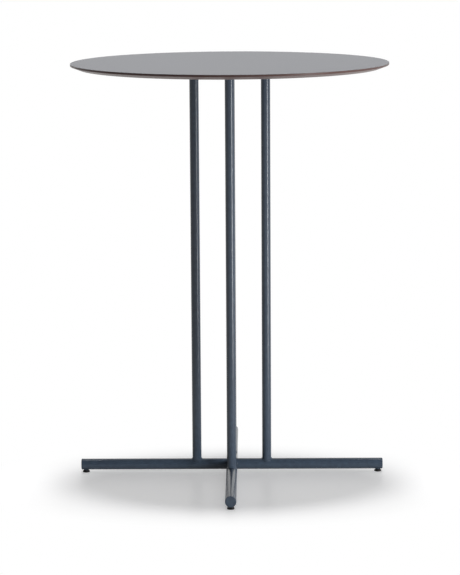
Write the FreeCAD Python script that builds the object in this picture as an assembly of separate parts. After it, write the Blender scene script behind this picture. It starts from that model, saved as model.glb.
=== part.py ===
import FreeCAD, Part
import math
import os

from FreeCAD import Vector

# Round high table in millimetres. The origin is on the floor under the middle of the top.
# +Z is up, -Y is the front and +X is the right-hand side.

# Overall sizes
table_height = 1055.0
top_diameter = 800.0
foot_span = 777.0
column_circle = 180.0

# Table top, a compact laminate disc with a thin upright rim above a long bevel
top_thickness = 13.0
sheet_thickness = 0.6
rim_height = 5.0
bevel_reach = 21.0

# Round steel tubes of the frame
column_diameter = 23.3
column_wall = 2.0
spoke_diameter = 28.0
spoke_wall = 2.0

# Top plate, a flat cross with round arm ends, screwed under the top
plate_thickness = 5.0
plate_arm_width = 44.0
plate_inner_radius = 30.0
screw_from_column = 38.0

# Screws driven through the plate into blind holes in the top
screw_diameter = 6.0
screw_engagement = 6.0
screw_head_diameter = 11.0
screw_head_height = 3.3
screw_hole_clearance = 0.3
screw_hole_spare = 1.5
thread_clearance = 0.06

# Discs welded on the ends of the cross
cap_thickness = 3.0
cap_chamfer = 1.2

# Levelling feet: a threaded bush in the tube, a hexagon stud and a pad that turns on it
bush_diameter = 13.0
bush_length = 14.0
bush_proud = 0.4
foot_from_end = 12.0
stud_diameter = 8.0
stud_headroom = 4.0
hexagon_across_flats = 13.0
hexagon_height = 2.6
pad_diameter = 18.5
pad_height = 3.4
spigot_diameter = 4.0
spigot_length = 2.0
spigot_clearance = 0.08

# Radii, places and levels that follow from the sizes above
top_radius = top_diameter / 2
column_radius = column_diameter / 2
spoke_radius = spoke_diameter / 2
top_underside = table_height - top_thickness
plate_underside = top_underside - plate_thickness
hexagon_top = pad_height + hexagon_height
spoke_axis = hexagon_top + bush_proud + spoke_radius
column_place = column_circle / 2
screw_place = column_place + screw_from_column
tube_end = foot_span / 2 - cap_thickness
foot_place = foot_span / 2 - foot_from_end

UP = Vector(0, 0, 1)
ALONG_ARM = Vector(1, 0, 0)
CENTRE = Vector(0, 0, 0)
ARM_ANGLES = {"right": 0, "rear": 90, "left": 180, "front": 270}
HEXAGON_SIDES = 6
NEAR = 1e-4


def turned(shape, angle):
    """A copy of the shape turned about the table's axis."""
    return shape.rotated(CENTRE, UP, angle)


def out_along_arm(shape, distance):
    """A copy of the shape moved out along the right-hand arm."""
    return shape.translated(ALONG_ARM * distance)


def on_each_arm(shape):
    """Copies of a shape made on the right-hand arm, one on each arm of the cross."""
    return Part.makeCompound([turned(shape, angle) for angle in ARM_ANGLES.values()])


def upright_cylinder(radius, bottom, top):
    """A cylinder about Z between two heights."""
    return Part.makeCylinder(radius, top - bottom, Vector(0, 0, bottom), UP)


def hexagon_prism(across_flats, bottom, top):
    """A hexagonal prism about Z between two heights."""
    corner = across_flats / 2 / math.cos(math.pi / HEXAGON_SIDES)
    points = []
    for number in range(HEXAGON_SIDES + 1):
        angle = 2 * math.pi * number / HEXAGON_SIDES
        points.append(Vector(corner * math.cos(angle), corner * math.sin(angle), bottom))
    return Part.Face(Part.makePolygon(points)).extrude(Vector(0, 0, top - bottom))


def spoke_cylinder(radius, start, end):
    """A cylinder along X on the axis of the cross."""
    return Part.makeCylinder(radius, end - start, Vector(start, 0, spoke_axis), ALONG_ARM)


def spoke_tube(start, end):
    """A tube of the cross along X between two places."""
    bore = spoke_cylinder(spoke_radius - spoke_wall, start, end)
    return spoke_cylinder(spoke_radius, start, end).cut(bore)


def at_screws(shape):
    """Copies of a shape made on the table's axis, one at each screw."""
    return on_each_arm(out_along_arm(shape, screw_place))


def make_tabletop_face():
    """The decor sheet on the top."""
    return upright_cylinder(top_radius, table_height - sheet_thickness, table_height)


def make_tabletop_core():
    """The core of the laminate, with the upright rim, the bevel and the screw holes."""
    bevel_top = table_height - rim_height
    rim = upright_cylinder(top_radius, bevel_top, table_height - sheet_thickness)
    low = Vector(0, 0, top_underside)
    bevel = Part.makeCone(top_radius - bevel_reach, top_radius, bevel_top - top_underside, low, UP)
    hole_top = top_underside + screw_engagement + screw_hole_spare
    hole_radius = screw_diameter / 2 + thread_clearance
    holes = at_screws(upright_cylinder(hole_radius, top_underside, hole_top))
    return rim.fuse(bevel).removeSplitter().cut(holes)


def make_top_plate():
    """The cross plate that carries the top, with its screw holes."""
    half = plate_arm_width / 2
    corner = Vector(-screw_place, -half, plate_underside)
    arm = Part.makeBox(2 * screw_place, plate_arm_width, plate_thickness, corner)
    ends = at_screws(upright_cylinder(half, plate_underside, top_underside))
    plate = arm.fuse([turned(arm, 90)] + ends.Solids).removeSplitter()
    inner = []
    for edge in plate.Edges:
        middle = edge.CenterOfMass
        upright = abs(edge.BoundBox.ZLength - plate_thickness) < NEAR
        if upright and math.hypot(middle.x, middle.y) < plate_arm_width:
            inner.append(edge)
    plate = plate.makeFillet(plate_inner_radius, inner)
    hole_radius = screw_diameter / 2 + screw_hole_clearance
    return plate.cut(at_screws(upright_cylinder(hole_radius, plate_underside, top_underside)))


def make_top_screws():
    """Pan head screws, driven upwards into the top."""
    bottom = plate_underside - screw_head_height
    head = upright_cylinder(screw_head_diameter / 2, bottom, plate_underside)
    shank = upright_cylinder(screw_diameter / 2, plate_underside, top_underside + screw_engagement)
    return at_screws(head.fuse(shank))


def make_column():
    """The column on the right-hand arm: a tube coped to sit on the round of the cross."""
    outside = upright_cylinder(column_radius, spoke_axis, plate_underside)
    bore = upright_cylinder(column_radius - column_wall, spoke_axis, plate_underside)
    tube = out_along_arm(outside.cut(bore), column_place)
    return tube.cut(spoke_cylinder(spoke_radius, 0, tube_end))


def bush_hole():
    """The hole for the bush in the lower wall of the right-hand arm."""
    return out_along_arm(upright_cylinder(bush_diameter / 2, 0, spoke_axis), foot_place)


def make_cross_tube():
    """The tube that runs from the left foot to the right foot."""
    tube = spoke_tube(-tube_end, tube_end)
    return tube.cut([bush_hole(), turned(bush_hole(), ARM_ANGLES["left"])])


def make_spoke():
    """A short spoke on the right-hand arm, coped to fit against the cross tube."""
    across = turned(spoke_cylinder(spoke_radius, -tube_end, tube_end), ARM_ANGLES["rear"])
    return spoke_tube(0, tube_end).cut([bush_hole(), across])


def make_end_caps():
    """The closing discs of the four arms, with a chamfer round the outer face."""
    disc = spoke_cylinder(spoke_radius, tube_end, tube_end + cap_thickness)
    rim = [edge for edge in disc.Edges if edge.BoundBox.XMin > tube_end + cap_thickness - NEAR]
    return on_each_arm(disc.makeChamfer(cap_chamfer, rim))


def make_foot_bushes():
    """The threaded bushes, a little proud of the tubes so that the hexagons seat flat."""
    top = hexagon_top + bush_length
    sleeve = upright_cylinder(bush_diameter / 2, hexagon_top, top)
    bore = upright_cylinder(stud_diameter / 2 + thread_clearance, hexagon_top, top)
    return on_each_arm(out_along_arm(sleeve.cut(bore), foot_place))


def make_foot_stud():
    """A hexagon stud on the right-hand arm, with its thread above and its spigot below."""
    tip = spoke_axis + spoke_radius - spoke_wall - stud_headroom
    spigot = upright_cylinder(spigot_diameter / 2, pad_height - spigot_length, pad_height)
    hexagon = hexagon_prism(hexagon_across_flats, pad_height, hexagon_top)
    thread = upright_cylinder(stud_diameter / 2, hexagon_top, tip)
    return out_along_arm(hexagon.fuse([spigot, thread]), foot_place)


def make_foot_pad():
    """A moulded pad on the right-hand arm, with the socket for the stud's spigot."""
    pad = upright_cylinder(pad_diameter / 2, 0, pad_height)
    socket_floor = pad_height - spigot_length - spigot_clearance
    socket = upright_cylinder(spigot_diameter / 2 + spigot_clearance, socket_floor, pad_height)
    return out_along_arm(pad.cut(socket), foot_place)


def make_parts():
    """Every piece of the table, by name."""
    parts = {
        "tabletop_face": make_tabletop_face(),
        "tabletop_core": make_tabletop_core(),
        "top_plate": make_top_plate(),
        "top_screws": make_top_screws(),
        "cross_tube": make_cross_tube(),
        "end_caps": make_end_caps(),
        "foot_bushes": make_foot_bushes(),
    }
    for name in ("front", "rear"):
        parts[name + "_spoke"] = turned(make_spoke(), ARM_ANGLES[name])
    for name, angle in ARM_ANGLES.items():
        parts["column_" + name] = turned(make_column(), angle)
        parts["foot_stud_" + name] = turned(make_foot_stud(), angle)
        parts["foot_pad_" + name] = turned(make_foot_pad(), angle)
    return parts


os.makedirs("parts", exist_ok=True)
for part_name, part_shape in make_parts().items():
    part_shape.exportStep("parts/" + part_name + ".step")
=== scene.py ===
import math

import bpy
from mathutils import Matrix, Vector
from mathutils.geometry import tessellate_polygon


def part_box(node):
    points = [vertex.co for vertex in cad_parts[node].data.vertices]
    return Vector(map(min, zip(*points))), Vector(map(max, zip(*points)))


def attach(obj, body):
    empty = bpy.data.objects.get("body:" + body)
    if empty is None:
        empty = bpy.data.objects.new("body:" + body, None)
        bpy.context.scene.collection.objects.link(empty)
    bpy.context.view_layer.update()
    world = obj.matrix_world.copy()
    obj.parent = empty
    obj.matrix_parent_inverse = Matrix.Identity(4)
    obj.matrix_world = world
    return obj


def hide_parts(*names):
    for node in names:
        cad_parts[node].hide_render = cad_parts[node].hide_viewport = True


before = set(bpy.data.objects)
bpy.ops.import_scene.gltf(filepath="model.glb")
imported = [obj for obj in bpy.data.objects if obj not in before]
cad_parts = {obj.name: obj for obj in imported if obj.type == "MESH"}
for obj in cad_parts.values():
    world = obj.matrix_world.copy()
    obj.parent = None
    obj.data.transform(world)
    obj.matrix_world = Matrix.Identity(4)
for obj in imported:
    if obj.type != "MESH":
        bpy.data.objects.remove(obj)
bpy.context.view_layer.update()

# The looks of a round high table. +Z is up, -Y is the front and +X is the right-hand side.

# Sizes that come from the frame, in metres
TOP_LOW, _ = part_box("tabletop_core")
FACE_LOW, FACE_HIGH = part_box("tabletop_face")
PLATE_LOW, PLATE_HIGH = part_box("top_plate")
TUBE_LOW, TUBE_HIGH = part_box("cross_tube")
_, CAP_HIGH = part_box("end_caps")
COLUMN_LOW, COLUMN_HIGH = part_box("column_right")
SCREW_LOW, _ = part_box("top_screws")
PAD_LOW, PAD_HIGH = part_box("foot_pad_right")
_, STUD_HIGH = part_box("foot_stud_right")
BUSH_LOW, BUSH_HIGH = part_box("foot_bushes")
top_radius = FACE_HIGH.x
spoke_radius = (TUBE_HIGH.z - TUBE_LOW.z) / 2
spoke_axis = (TUBE_HIGH.z + TUBE_LOW.z) / 2
column_radius = (COLUMN_HIGH.x - COLUMN_LOW.x) / 2
column_place = (COLUMN_HIGH.x + COLUMN_LOW.x) / 2
foot_place = (PAD_HIGH.x + PAD_LOW.x) / 2
pad_radius = (PAD_HIGH.x - PAD_LOW.x) / 2
bush_radius = BUSH_HIGH.x - foot_place

# Sizes of the fine detail, in metres
rim_height = 0.005
bevel_reach = 0.021
face_round = 0.0004
core_round = 0.00036
core_round_in = 0.00012
core_round_down = 0.00006
backing_thickness = 0.0006
tube_wall = 0.002
cap_break = 0.0003
cap_round = 0.0014
screw_place = 0.128
plate_inner_radius = 0.03
plate_break = 0.0006
plate_hole_radius = 0.0033
screw_head_radius = 0.0055
screw_dome = 0.0016
socket_across_flats = 0.004
socket_depth = 0.002
socket_rim_radius = 0.00264
socket_break = 0.0002
socket_centre = 0.0002
weld_radius = 0.0019
seam_radius = 0.0012
bush_bore = 0.00406
bush_break = 0.0003
thread_radius = 0.004
thread_pitch = 0.00125
thread_depth = 0.0006
hexagon_across_flats = 0.013
hexagon_break = 0.0005
pad_round = 0.0008
pad_break = 0.00032

# Directions of the arms about the vertical axis, in degrees
ARMS = {"right": 0, "rear": 90, "left": 180, "front": 270}
TURN = 2 * math.pi

# Points round a circle, more where it shows large
TOP_POINTS = 240
COLUMN_POINTS = 72
SPOKE_POINTS = 96
FOOT_POINTS = 64
SMALL_POINTS = 48
WELD_POINTS = 288

# Rings of a flat round face, as shares of its radius from the outside in
TOP_RINGS = (0.98, 0.66, 0.33, 0.02)
SMALL_RINGS = (0.8, 0.4, 0.02)
PAD_RINGS = (0.9, 0.5, 0.02)
CAP_RING = 0.96

# Angles in degrees above which an edge is shaded sharp
EDGE_ANGLE = 35.0
RIM_EDGE_ANGLE = 60.0
WELD_EDGE_ANGLE = 80.0


def srgb(red, green, blue):
    """A colour in 0 to 255 screen values as linear light."""
    return tuple(((v / 255 + 0.055) / 1.055) ** 2.4 for v in (red, green, blue)) + (1.0,)


class Surface:
    """A procedural material: two shades mixed by noise, and a fine bump."""

    def __init__(self, name, shades, roughness, metallic=0.0, shine=0.5):
        self.material = bpy.data.materials.new(name)
        self.material.use_nodes = True
        self.nodes = self.material.node_tree.nodes
        self.links = self.material.node_tree.links
        self.shader = self.nodes["Principled BSDF"]
        self.shader.inputs["Roughness"].default_value = roughness
        self.shader.inputs["Metallic"].default_value = metallic
        self.shader.inputs["Specular IOR Level"].default_value = shine
        self.place = self.nodes.new("ShaderNodeTexCoord")
        self.shades = self.nodes.new("ShaderNodeValToRGB")
        for stop, shade in zip(self.shades.color_ramp.elements, shades):
            stop.color = srgb(*shade)
        self.links.new(self.shades.outputs["Color"], self.shader.inputs["Base Color"])

    def noise(self, scale, detail=3.0, stretch=(1, 1, 1)):
        """Noise in the row frame, stretched along the axes."""
        mapping = self.nodes.new("ShaderNodeMapping")
        mapping.inputs["Scale"].default_value = stretch
        texture = self.nodes.new("ShaderNodeTexNoise")
        texture.inputs["Scale"].default_value = scale
        texture.inputs["Detail"].default_value = detail
        self.links.new(self.place.outputs["Object"], mapping.inputs["Vector"])
        self.links.new(mapping.outputs["Vector"], texture.inputs["Vector"])
        return texture.outputs["Fac"]

    def mottle(self, source, low, high):
        """Mixes the two shades over this range of the noise."""
        first, last = self.shades.color_ramp.elements
        first.position = low
        last.position = high
        self.links.new(source, self.shades.inputs["Fac"])

    def bump(self, source, strength, distance):
        """A fine relief."""
        relief = self.nodes.new("ShaderNodeBump")
        relief.inputs["Strength"].default_value = strength
        relief.inputs["Distance"].default_value = distance
        self.links.new(source, relief.inputs["Height"])
        self.links.new(relief.outputs["Normal"], self.shader.inputs["Normal"])


def make_surfaces():
    """The finishes of the table, by the record's slot."""
    face = Surface("grey_laminate", ((138, 139, 143), (146, 147, 151)), 0.6, shine=0.2)
    face.mottle(face.noise(420.0), 0.35, 0.65)
    face.bump(face.noise(1400.0), 0.08, 0.0002)
    core = Surface("brown_core", ((92, 70, 66), (112, 88, 84)), 0.36, shine=0.14)
    core.mottle(core.noise(26.0, stretch=(1, 1, 60)), 0.3, 0.7)
    core.bump(core.noise(160.0, stretch=(1, 1, 12)), 0.1, 0.0002)
    paint = Surface("blue_grey_powder_coat", ((57, 68, 82), (63, 75, 90)), 0.26, shine=0.36)
    paint.mottle(paint.noise(90.0), 0.3, 0.7)
    paint.bump(paint.noise(1600.0), 0.05, 0.0002)
    steel = Surface("zinc_plated_steel", ((168, 168, 166), (190, 190, 187)), 0.34, 1.0)
    steel.mottle(steel.noise(240.0), 0.3, 0.7)
    bush = Surface("coated_bush_steel", ((46, 57, 71), (56, 68, 84)), 0.4, 0.2)
    bush.mottle(bush.noise(300.0, stretch=(1, 1, 8)), 0.3, 0.7)
    stud = Surface("blackened_steel", ((34, 34, 36), (46, 46, 48)), 0.42, 0.6)
    stud.mottle(stud.noise(320.0), 0.3, 0.7)
    pad = Surface("black_plastic", ((18, 18, 19), (26, 26, 27)), 0.5)
    pad.mottle(pad.noise(380.0), 0.3, 0.7)
    pad.bump(pad.noise(900.0), 0.12, 0.0002)
    return {
        "laminate_face": face.material,
        "laminate_core": core.material,
        "frame_paint": paint.material,
        "screw_steel": steel.material,
        "bush_steel": bush.material,
        "stud_steel": stud.material,
        "foot_plastic": pad.material,
    }


SURFACES = make_surfaces()


class Mesh:
    """Vertices and faces that grow ring by ring."""

    def __init__(self):
        self.points = []
        self.faces = []

    def ring(self, points):
        """Adds a closed ring of points and returns their numbers."""
        first = len(self.points)
        self.points += [Vector(p) for p in points]
        return list(range(first, len(self.points)))

    def join(self, one, two):
        """Faces between two rings of the same length."""
        for n in range(len(one)):
            m = (n + 1) % len(one)
            self.faces.append((one[n], one[m], two[m], two[n]))

    def stack(self, rings):
        """Joins rings in a row, with a flat face on each end."""
        rings = [self.ring(points) for points in rings]
        for one, two in zip(rings, rings[1:]):
            self.join(one, two)
        self.faces.append(tuple(reversed(rings[0])))
        self.faces.append(tuple(rings[-1]))

    def loop(self, rings):
        """Joins rings in a closed loop."""
        rings = [self.ring(points) for points in rings]
        for one, two in zip(rings, rings[1:] + rings[:1]):
            self.join(one, two)

    def add(self, other, matrix):
        """Adds a moved copy of another mesh."""
        first = len(self.points)
        self.points += [matrix @ p for p in other.points]
        self.faces += [tuple(first + n for n in face) for face in other.faces]

    def moved(self, matrix):
        """A moved copy of this mesh."""
        copy = Mesh()
        copy.add(self, matrix)
        return copy

    def piece(self, name, body, slot, nodes=(), sharp=EDGE_ANGLE):
        """The finished object, on its body, in its finish, in place of its CAD nodes."""
        data = bpy.data.meshes.new(name)
        data.from_pydata([tuple(p) for p in self.points], [], self.faces)
        data.validate()
        data.shade_smooth()
        data.set_sharp_from_angle(angle=math.radians(sharp))
        data.materials.append(SURFACES[slot])
        thing = bpy.data.objects.new(name, data)
        bpy.context.collection.objects.link(thing)
        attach(thing, body)
        if nodes:
            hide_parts(*nodes)


def circle(radius, height, count):
    """Points of a level circle about Z, anticlockwise from above."""
    return [(radius * math.cos(TURN * n / count), radius * math.sin(TURN * n / count), height)
            for n in range(count)]


def turned_solid(profile, count):
    """A solid of revolution about Z from (radius, height) points, from the bottom up."""
    mesh = Mesh()
    mesh.stack([circle(radius, height, count) for radius, height in profile])
    return mesh


def rounded(radius, height, size, steps=5):
    """Profile points of a rounded corner that ends a wall at this radius and height."""
    points = []
    for n in range(steps + 1):
        angle = math.pi / 2 * n / steps
        inward, down = size * (1 - math.cos(angle)), size * (1 - math.sin(angle))
        points.append((radius - inward, height - down))
    return points


def to_arm(angle, place=0.0):
    """From the table's axis out along an arm."""
    return Matrix.Rotation(math.radians(angle), 4, "Z") @ Matrix.Translation((place, 0, 0))


def along_arm():
    """Turns a solid that stands about Z so that it lies along +X on the axis of the cross."""
    return Matrix.Translation((0, 0, spoke_axis)) @ Matrix.Rotation(math.pi / 2, 4, "Y")


def on_each_arm(mesh, place=0.0):
    """One mesh with a copy of this one on each arm, this far out from the table's axis."""
    copies = Mesh()
    for angle in ARMS.values():
        copies.add(mesh, to_arm(angle, place))
    return copies


def make_top():
    """The three layers of the top: decor sheet, core with rim and bevel, and backing sheet."""
    sheet = [(top_radius, FACE_LOW.z)]
    sheet += rounded(top_radius, FACE_HIGH.z, face_round)
    sheet += [(top_radius * share, FACE_HIGH.z) for share in TOP_RINGS]
    decor_sheet = turned_solid(sheet, TOP_POINTS)
    decor_sheet.piece("top_decor_sheet", "table", "laminate_face", ["tabletop_face"])
    rim_low = FACE_HIGH.z - rim_height
    inner = top_radius - bevel_reach
    backing_top = TOP_LOW.z + backing_thickness
    slope = bevel_reach / (rim_low - TOP_LOW.z)
    core = [(inner + slope * backing_thickness, backing_top)]
    core += [(top_radius - slope * core_round, rim_low - core_round)]
    core += [(top_radius - core_round_in, rim_low - core_round_down)]
    core += [(top_radius, rim_low + core_round), (top_radius, FACE_LOW.z)]
    brown_core = turned_solid(core, TOP_POINTS)
    brown_core.piece("top_core", "table", "laminate_core", ["tabletop_core"], RIM_EDGE_ANGLE)
    backing = [(inner * share, TOP_LOW.z) for share in reversed(TOP_RINGS)]
    backing += [(inner, TOP_LOW.z), (inner + slope * backing_thickness, backing_top)]
    turned_solid(backing, TOP_POINTS).piece("top_backing_sheet", "table", "laminate_face")


def saddle(radius, count):
    """Points where an upright round of this radius meets the upper side of the cross."""
    points = []
    for x, y, _ in circle(radius, 0.0, count):
        points.append(Vector((x, y, spoke_axis + math.sqrt(spoke_radius ** 2 - y ** 2))))
    return points


def cope(radius, count):
    """Points where a spoke's wall of this radius meets the round of the long tube."""
    points = []
    for x, y, _ in circle(radius, 0.0, count):
        points.append(Vector((x, y, math.sqrt(spoke_radius ** 2 - x ** 2))))
    return points


def square(radius, count):
    """Points of the left end of the long tube."""
    return circle(radius, -TUBE_HIGH.x, count)


def tube(radius, start, heights, count):
    """A tube about Z with a wall. The ring of its lower end comes from start, the rest is round."""
    inside = radius - tube_wall
    outer = [start(radius, count)] + [circle(radius, height, count) for height in heights]
    inner = [start(inside, count)] + [circle(inside, height, count) for height in heights]
    mesh = Mesh()
    mesh.loop(outer + inner[::-1])
    return mesh


def bead(path, size, ripples):
    """A weld run along a closed path, with the ripples of the pool."""
    sides = 12
    ripple_share = 0.12
    rings = []
    for n, point in enumerate(path):
        ahead = (path[(n + 1) % len(path)] - path[n - 1]).normalized()
        across = Vector((0, 0, 1)).cross(ahead).normalized()
        upright = ahead.cross(across)
        reach = size * (1 + ripple_share * abs(math.sin(math.pi * ripples * n / len(path))))
        ring = []
        for k in range(sides):
            angle = TURN * k / sides
            ring.append(point + reach * (across * math.cos(angle) + upright * math.sin(angle)))
        rings.append(ring)
    mesh = Mesh()
    mesh.loop(rings)
    return mesh


def make_columns():
    """The columns, coped on the cross, with their welds at the foot and at the plate."""
    heights = [COLUMN_HIGH.z * share for share in (0.25, 0.5, 0.75, 1.0)]
    upright = tube(column_radius, saddle, heights, COLUMN_POINTS)
    ripples = 36
    welds = bead(saddle(column_radius, WELD_POINTS), weld_radius, ripples)
    ring = [Vector(point) for point in circle(column_radius, PLATE_LOW.z, WELD_POINTS)]
    welds.add(bead(ring, weld_radius, ripples), Matrix.Identity(4))
    for name, angle in ARMS.items():
        place = to_arm(angle, column_place)
        column, runs = upright.moved(place), welds.moved(place)
        column.piece("column_tube_" + name, "table", "frame_paint", ["column_" + name])
        runs.piece("column_welds_" + name, "table", "frame_paint", sharp=WELD_EDGE_ANGLE)


def make_cross():
    """The long tube, the two coped spokes and the seams where they meet."""
    end = TUBE_HIGH.x
    places = [end * share for share in (-0.75, -0.5, -0.25, 0.0, 0.25, 0.5, 0.75, 1.0)]
    long_tube = tube(spoke_radius, square, places, SPOKE_POINTS).moved(along_arm())
    long_tube.piece("long_tube", "table", "frame_paint", ["cross_tube"])
    places = [end * share for share in (0.1, 0.4, 0.7, 1.0)]
    coped = tube(spoke_radius, cope, places, SPOKE_POINTS)
    seam = bead(cope(spoke_radius, WELD_POINTS), seam_radius, ripples=40)
    for name in ("front", "rear"):
        place = to_arm(ARMS[name]) @ along_arm()
        spoke, run = coped.moved(place), seam.moved(place)
        spoke.piece("spoke_tube_" + name, "table", "frame_paint", [name + "_spoke"])
        run.piece("spoke_weld_" + name, "table", "frame_paint", sharp=WELD_EDGE_ANGLE)


def make_caps():
    """The discs on the ends of the cross, with rounded rims."""
    length = CAP_HIGH.x - TUBE_HIGH.x
    profile = [(spoke_radius * CAP_RING, 0.0)]
    profile += [(spoke_radius - cap_break, 0.0), (spoke_radius, cap_break)]
    profile += rounded(spoke_radius, length, cap_round)
    profile += [(spoke_radius * share, length) for share in SMALL_RINGS]
    disc = turned_solid(profile, SPOKE_POINTS)
    lying = disc.moved(along_arm() @ Matrix.Translation((0, 0, TUBE_HIGH.x)))
    on_each_arm(lying).piece("end_discs", "table", "frame_paint", ["end_caps"])


def arc(x, y, radius, start, end, steps):
    """Points of a level arc about a centre, between two angles in degrees."""
    points = []
    for n in range(steps + 1):
        angle = math.radians(start + (end - start) * n / steps)
        points.append(Vector((x + radius * math.cos(angle), y + radius * math.sin(angle), 0.0)))
    return points


def plate_outline(inset, height):
    """Points round the cross plate, inset from its edge: for each arm a round end and a fillet."""
    end_steps, fillet_steps = 32, 16
    half = PLATE_HIGH.x - screw_place
    corner = half + plate_inner_radius
    quarter = arc(screw_place, 0.0, half - inset, -90.0, 90.0, end_steps)
    quarter += arc(corner, corner, plate_inner_radius + inset, 270.0, 180.0, fillet_steps)
    points = []
    for angle in ARMS.values():
        points += [to_arm(angle) @ point + Vector((0.0, 0.0, height)) for point in quarter]
    return points


def make_plate():
    """The cross plate under the top, with broken edges and its screw holes."""
    low, high = PLATE_LOW.z, PLATE_HIGH.z
    levels = [(plate_break, low), (0.0, low + plate_break)]
    levels += [(0.0, high - plate_break), (plate_break, high)]
    mesh = Mesh()
    walls = [mesh.ring(plate_outline(inset, height)) for inset, height in levels]
    for one, two in zip(walls, walls[1:]):
        mesh.join(one, two)
    ends = [[walls[0]], [walls[-1]]]
    for angle in ARMS.values():
        place = to_arm(angle, screw_place)
        rims = []
        for height in (low, high):
            hole = circle(plate_hole_radius, height, SMALL_POINTS)
            rims.append(mesh.ring([place @ Vector(point) for point in hole]))
        mesh.join(rims[1], rims[0])
        for end, rim in zip(ends, rims):
            end.append(rim)
    for end, upward in zip(ends, (False, True)):
        numbers = [number for ring in end for number in ring]
        outlines = [[mesh.points[number] for number in ring] for ring in end]
        for triangle in tessellate_polygon(outlines):
            a, b, c = (mesh.points[numbers[n]] for n in triangle)
            faces_up = (b - a).cross(c - a).z > 0
            order = triangle if faces_up == upward else triangle[::-1]
            mesh.faces.append(tuple(numbers[n] for n in order))
    mesh.piece("cross_plate", "table", "frame_paint", ["top_plate"])


def hexagon(across_flats, height, count):
    """Points round a hexagon, as many as a circle that it is joined to."""
    points = []
    for n in range(count):
        angle = TURN * n / count
        side = (angle + math.pi / 6) % (math.pi / 3) - math.pi / 6
        radius = across_flats / 2 / math.cos(side)
        points.append((radius * math.cos(angle), radius * math.sin(angle), height))
    return points


def make_screws():
    """Pan head screws under the plate, with a domed face and a hexagon socket."""
    low = SCREW_LOW.z
    rings = [circle(socket_centre, low + socket_depth, SMALL_POINTS)]
    rings.append(hexagon(socket_across_flats, low + socket_depth, SMALL_POINTS))
    rings.append(hexagon(socket_across_flats, low + socket_break, SMALL_POINTS))
    rings.append(circle(socket_rim_radius, low, SMALL_POINTS))
    dome_steps = 6
    for n in range(1, dome_steps + 1):
        angle = math.pi / 2 * n / dome_steps
        radius = socket_rim_radius + (screw_head_radius - socket_rim_radius) * math.sin(angle)
        rings.append(circle(radius, low + screw_dome * (1 - math.cos(angle)), SMALL_POINTS))
    rings.append(circle(screw_head_radius, PLATE_LOW.z, SMALL_POINTS))
    head = Mesh()
    head.stack(rings)
    screws = on_each_arm(head, screw_place)
    screws.piece("plate_screws", "table", "screw_steel", ["top_screws"])


def make_bushes():
    """The threaded bushes in the arms, with broken edges."""
    low, high = BUSH_LOW.z, BUSH_HIGH.z
    profile = [(bush_radius - bush_break, low), (bush_radius, low + bush_break)]
    profile += [(bush_radius, high - bush_break), (bush_radius - bush_break, high)]
    profile += [(bush_bore + bush_break, high), (bush_bore, high - bush_break)]
    profile += [(bush_bore, low + bush_break), (bush_bore + bush_break, low)]
    sleeve = Mesh()
    sleeve.loop([circle(radius, height, FOOT_POINTS) for radius, height in profile])
    bushes = on_each_arm(sleeve, foot_place)
    bushes.piece("levelling_bushes", "table", "bush_steel", ["foot_bushes"])


def make_stud():
    """A levelling stud: hexagon with broken corners and a rolled thread above it."""
    count = SMALL_POINTS
    low, high = PAD_HIGH.z, BUSH_LOW.z
    inside = hexagon_across_flats / 2 - hexagon_break
    rings = [circle(inside, low, count)]
    rings.append(hexagon(hexagon_across_flats, low + hexagon_break, count))
    rings.append(hexagon(hexagon_across_flats, high - hexagon_break, count))
    rings.append(circle(inside, high, count))
    mesh = Mesh()
    mesh.stack(rings)
    levels_per_turn = 8
    turns = (STUD_HIGH.z - high) / thread_pitch
    levels = int(turns * levels_per_turn)
    thread = []
    for level in range(levels + 1):
        height = high + (STUD_HIGH.z - high) * level / levels
        ring = []
        for n in range(count):
            phase = (turns * level / levels - n / count) % 1.0
            radius = thread_radius - thread_depth * abs(2 * phase - 1)
            angle = TURN * n / count
            ring.append((radius * math.cos(angle), radius * math.sin(angle), height))
        thread.append(ring)
    mesh.stack(thread)
    return mesh


def make_pad():
    """A moulded foot pad with a rounded upper edge and a broken lower edge."""
    profile = [(pad_radius * share, 0.0) for share in reversed(PAD_RINGS)]
    profile += [(pad_radius - pad_break, 0.0), (pad_radius, pad_break)]
    profile += rounded(pad_radius, PAD_HIGH.z, pad_round)
    profile += [(pad_radius * share, PAD_HIGH.z) for share in SMALL_RINGS]
    return turned_solid(profile, FOOT_POINTS)


def make_feet():
    """The stud and the pad of each levelling foot, on their own bodies."""
    stud, pad = make_stud(), make_pad()
    for name, angle in ARMS.items():
        place = to_arm(angle, foot_place)
        one, two = stud.moved(place), pad.moved(place)
        one.piece("levelling_stud_" + name, "stud_" + name, "stud_steel", ["foot_stud_" + name])
        two.piece("levelling_pad_" + name, "pad_" + name, "foot_plastic", ["foot_pad_" + name])


def smooth_ramp(nodes, start, end, low=0.0, high=1.0):
    """A smooth step from low to high between two values."""
    ramp = nodes.new("ShaderNodeMapRange")
    ramp.interpolation_type = "SMOOTHSTEP"
    for name, value in (("From Min", start), ("From Max", end), ("To Min", low), ("To Max", high)):
        ramp.inputs[name].default_value = value
    return ramp


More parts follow.
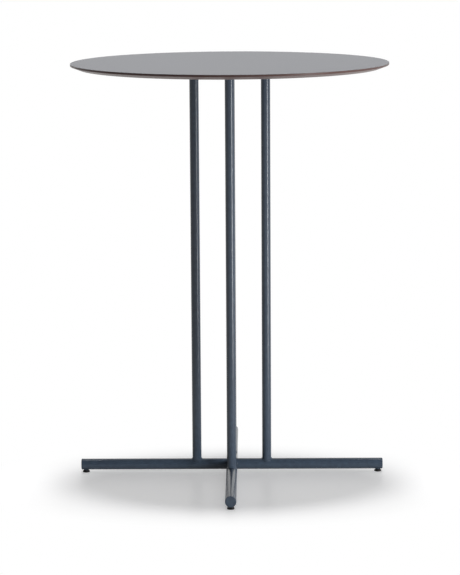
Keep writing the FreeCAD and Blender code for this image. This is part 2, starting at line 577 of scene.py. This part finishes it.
def floor_material():
    """White that keeps the shadow near the table and is plain white to the camera further out."""
    shadow_shift, shadow_scale = (0.0, 0.42, 0.0), (2.3, 3.47, 1.0)
    fade_start, fade_end = 0.78, 1.54
    material = bpy.data.materials.new("white_floor")
    material.use_nodes = True
    nodes, links = material.node_tree.nodes, material.node_tree.links
    shadowed = nodes["Principled BSDF"]
    shadowed.inputs["Base Color"].default_value = (0.92, 0.92, 0.93, 1.0)
    shadowed.inputs["Roughness"].default_value = 0.34
    shadowed.inputs["Specular IOR Level"].default_value = 0.06
    shadowed.inputs["Emission Color"].default_value = (1.0, 1.0, 1.0, 1.0)
    shadowed.inputs["Emission Strength"].default_value = 0.37
    plain = nodes.new("ShaderNodeEmission")
    plain.inputs["Color"].default_value = (1.0, 1.0, 1.0, 1.0)
    bounce = nodes.new("ShaderNodeBsdfDiffuse")
    bounce.inputs["Color"].default_value = (0.5, 0.5, 0.5, 1.0)
    place = nodes.new("ShaderNodeTexCoord")
    oval = nodes.new("ShaderNodeMapping")
    oval.inputs["Location"].default_value = shadow_shift
    oval.inputs["Scale"].default_value = shadow_scale
    distance = nodes.new("ShaderNodeVectorMath")
    distance.operation = "LENGTH"
    fade = smooth_ramp(nodes, fade_start, fade_end)
    seen = nodes.new("ShaderNodeMixShader")
    ray = nodes.new("ShaderNodeLightPath")
    shown = nodes.new("ShaderNodeMath")
    shown.operation = "MAXIMUM"
    split = nodes.new("ShaderNodeMixShader")
    links.new(place.outputs["Object"], oval.inputs["Vector"])
    links.new(oval.outputs["Vector"], distance.inputs[0])
    links.new(distance.outputs["Value"], fade.inputs["Value"])
    links.new(fade.outputs["Result"], seen.inputs["Fac"])
    links.new(shadowed.outputs["BSDF"], seen.inputs[1])
    links.new(plain.outputs["Emission"], seen.inputs[2])
    links.new(ray.outputs["Is Camera Ray"], shown.inputs[0])
    links.new(ray.outputs["Is Glossy Ray"], shown.inputs[1])
    links.new(shown.outputs["Value"], split.inputs["Fac"])
    links.new(bounce.outputs["BSDF"], split.inputs[1])
    links.new(seen.outputs["Shader"], split.inputs[2])
    links.new(split.outputs["Shader"], nodes["Material Output"].inputs["Surface"])
    return material


def make_floor():
    """A wide level floor."""
    reach = 60.0
    corners = [(-reach, -reach, 0), (reach, -reach, 0), (reach, reach, 0), (-reach, reach, 0)]
    mesh = bpy.data.meshes.new("floor")
    mesh.from_pydata(corners, [], [(0, 1, 2, 3)])
    mesh.materials.append(floor_material())
    floor = bpy.data.objects.new("floor", mesh)
    bpy.context.collection.objects.link(floor)
    return floor


def make_world():
    """Studio surroundings: a pale backdrop behind the table, dim in front and on the left."""
    world = bpy.data.worlds.new("studio")
    bpy.context.scene.world = world
    world.use_nodes = True
    nodes, links = world.node_tree.nodes, world.node_tree.links
    background = nodes["Background"]
    background.inputs["Color"].default_value = (1.0, 1.0, 1.0, 1.0)
    place = nodes.new("ShaderNodeTexCoord")
    axes = nodes.new("ShaderNodeSeparateXYZ")
    backdrop = smooth_ramp(nodes, -0.1, 0.6, low=0.2, high=0.5)
    side = smooth_ramp(nodes, -0.3, 0.1, low=0.1)
    mirrored = smooth_ramp(nodes, -0.1, 0.6, low=0.1)
    dimmed = nodes.new("ShaderNodeMath")
    dimmed.operation = "MULTIPLY"
    ray = nodes.new("ShaderNodeLightPath")
    lit = nodes.new("ShaderNodeMix")
    shown = nodes.new("ShaderNodeMath")
    shown.operation = "MAXIMUM"
    links.new(place.outputs["Generated"], axes.inputs["Vector"])
    links.new(axes.outputs["Y"], backdrop.inputs["Value"])
    links.new(axes.outputs["X"], side.inputs["Value"])
    links.new(axes.outputs["Y"], mirrored.inputs["Value"])
    links.new(backdrop.outputs["Result"], dimmed.inputs[0])
    links.new(side.outputs["Result"], dimmed.inputs[1])
    links.new(ray.outputs["Is Glossy Ray"], lit.inputs["Factor"])
    links.new(dimmed.outputs["Value"], lit.inputs["A"])
    links.new(mirrored.outputs["Result"], lit.inputs["B"])
    links.new(lit.outputs["Result"], shown.inputs[0])
    links.new(ray.outputs["Is Camera Ray"], shown.inputs[1])
    links.new(shown.outputs["Value"], background.inputs["Strength"])


def add_light(name, shape, place, aim, power, size, spread=180.0, mirrored=True):
    """A soft lamp of this width and height at a place, aimed at a point."""
    data = bpy.data.lights.new(name, "AREA")
    data.shape = shape
    data.size, data.size_y = size
    data.energy = power
    data.spread = math.radians(spread)
    lamp = bpy.data.objects.new(name, data)
    lamp.location = place
    lamp.rotation_mode = "QUATERNION"
    lamp.rotation_quaternion = (Vector(aim) - Vector(place)).to_track_quat("-Z", "Y")
    lamp.visible_camera = False
    lamp.visible_glossy = mirrored
    bpy.context.collection.objects.link(lamp)
    return lamp


def make_lights(floor):
    """Two lamps high above, and a tall panel and two weak fills that leave the floor alone."""
    foot, middle = (0.0, 0.0, 0.0), (0.0, 0.0, 0.6)
    disc, tall, upright, wide = (0.8, 0.8), (0.22, 0.96), (0.3, 0.8), (1.4, 0.25)
    add_light("overhead_front", "DISK", (0.0, -0.3, 6.2), foot, 111.0, disc)
    add_light("overhead_rear", "DISK", (0.0, 1.4, 6.2), foot, 116.0, disc)
    side_lamps = [
        add_light("panel", "RECTANGLE", (0.93, -0.78, 0.55), middle, 3.2, tall, 80.0),
        add_light("rear_fill", "RECTANGLE", (-0.1, 1.3, 0.55), middle, 2.6, upright, 80.0, False),
        add_light("low_fill", "RECTANGLE", (1.2, -1.8, 0.3), foot, 0.95, wide, 18.0, False),
    ]
    spared = bpy.data.collections.new("spared_floor")
    spared.objects.link(floor)
    spared.collection_objects[0].light_linking.link_state = "EXCLUDE"
    for lamp in side_lamps:
        lamp.light_linking.receiver_collection = spared


def make_camera():
    """The camera of the photograph."""
    azimuth, pan, tilt, roll = (math.radians(v) for v in (0.547, 0.022, 9.607, -0.341))
    distance, height = 5.975, 1.493
    data = bpy.data.cameras.new("camera")
    data.sensor_width = 36.0
    data.lens = 148.74
    data.dof.use_dof = False
    data.clip_end = 200.0
    camera = bpy.data.objects.new("camera", data)
    spot = Matrix.Translation((distance * math.sin(azimuth), -distance * math.cos(azimuth), height))
    turn = Matrix.Rotation(azimuth + pan, 4, "Z") @ Matrix.Rotation(math.pi / 2 - tilt, 4, "X")
    camera.matrix_world = spot @ turn @ Matrix.Rotation(roll, 4, "Z")
    bpy.context.collection.objects.link(camera)
    bpy.context.scene.camera = camera


make_top()
make_columns()
make_cross()
make_caps()
make_plate()
make_screws()
make_bushes()
make_feet()
white_floor = make_floor()
make_world()
make_lights(white_floor)
make_camera()
bpy.context.scene.view_settings.view_transform = "Standard"
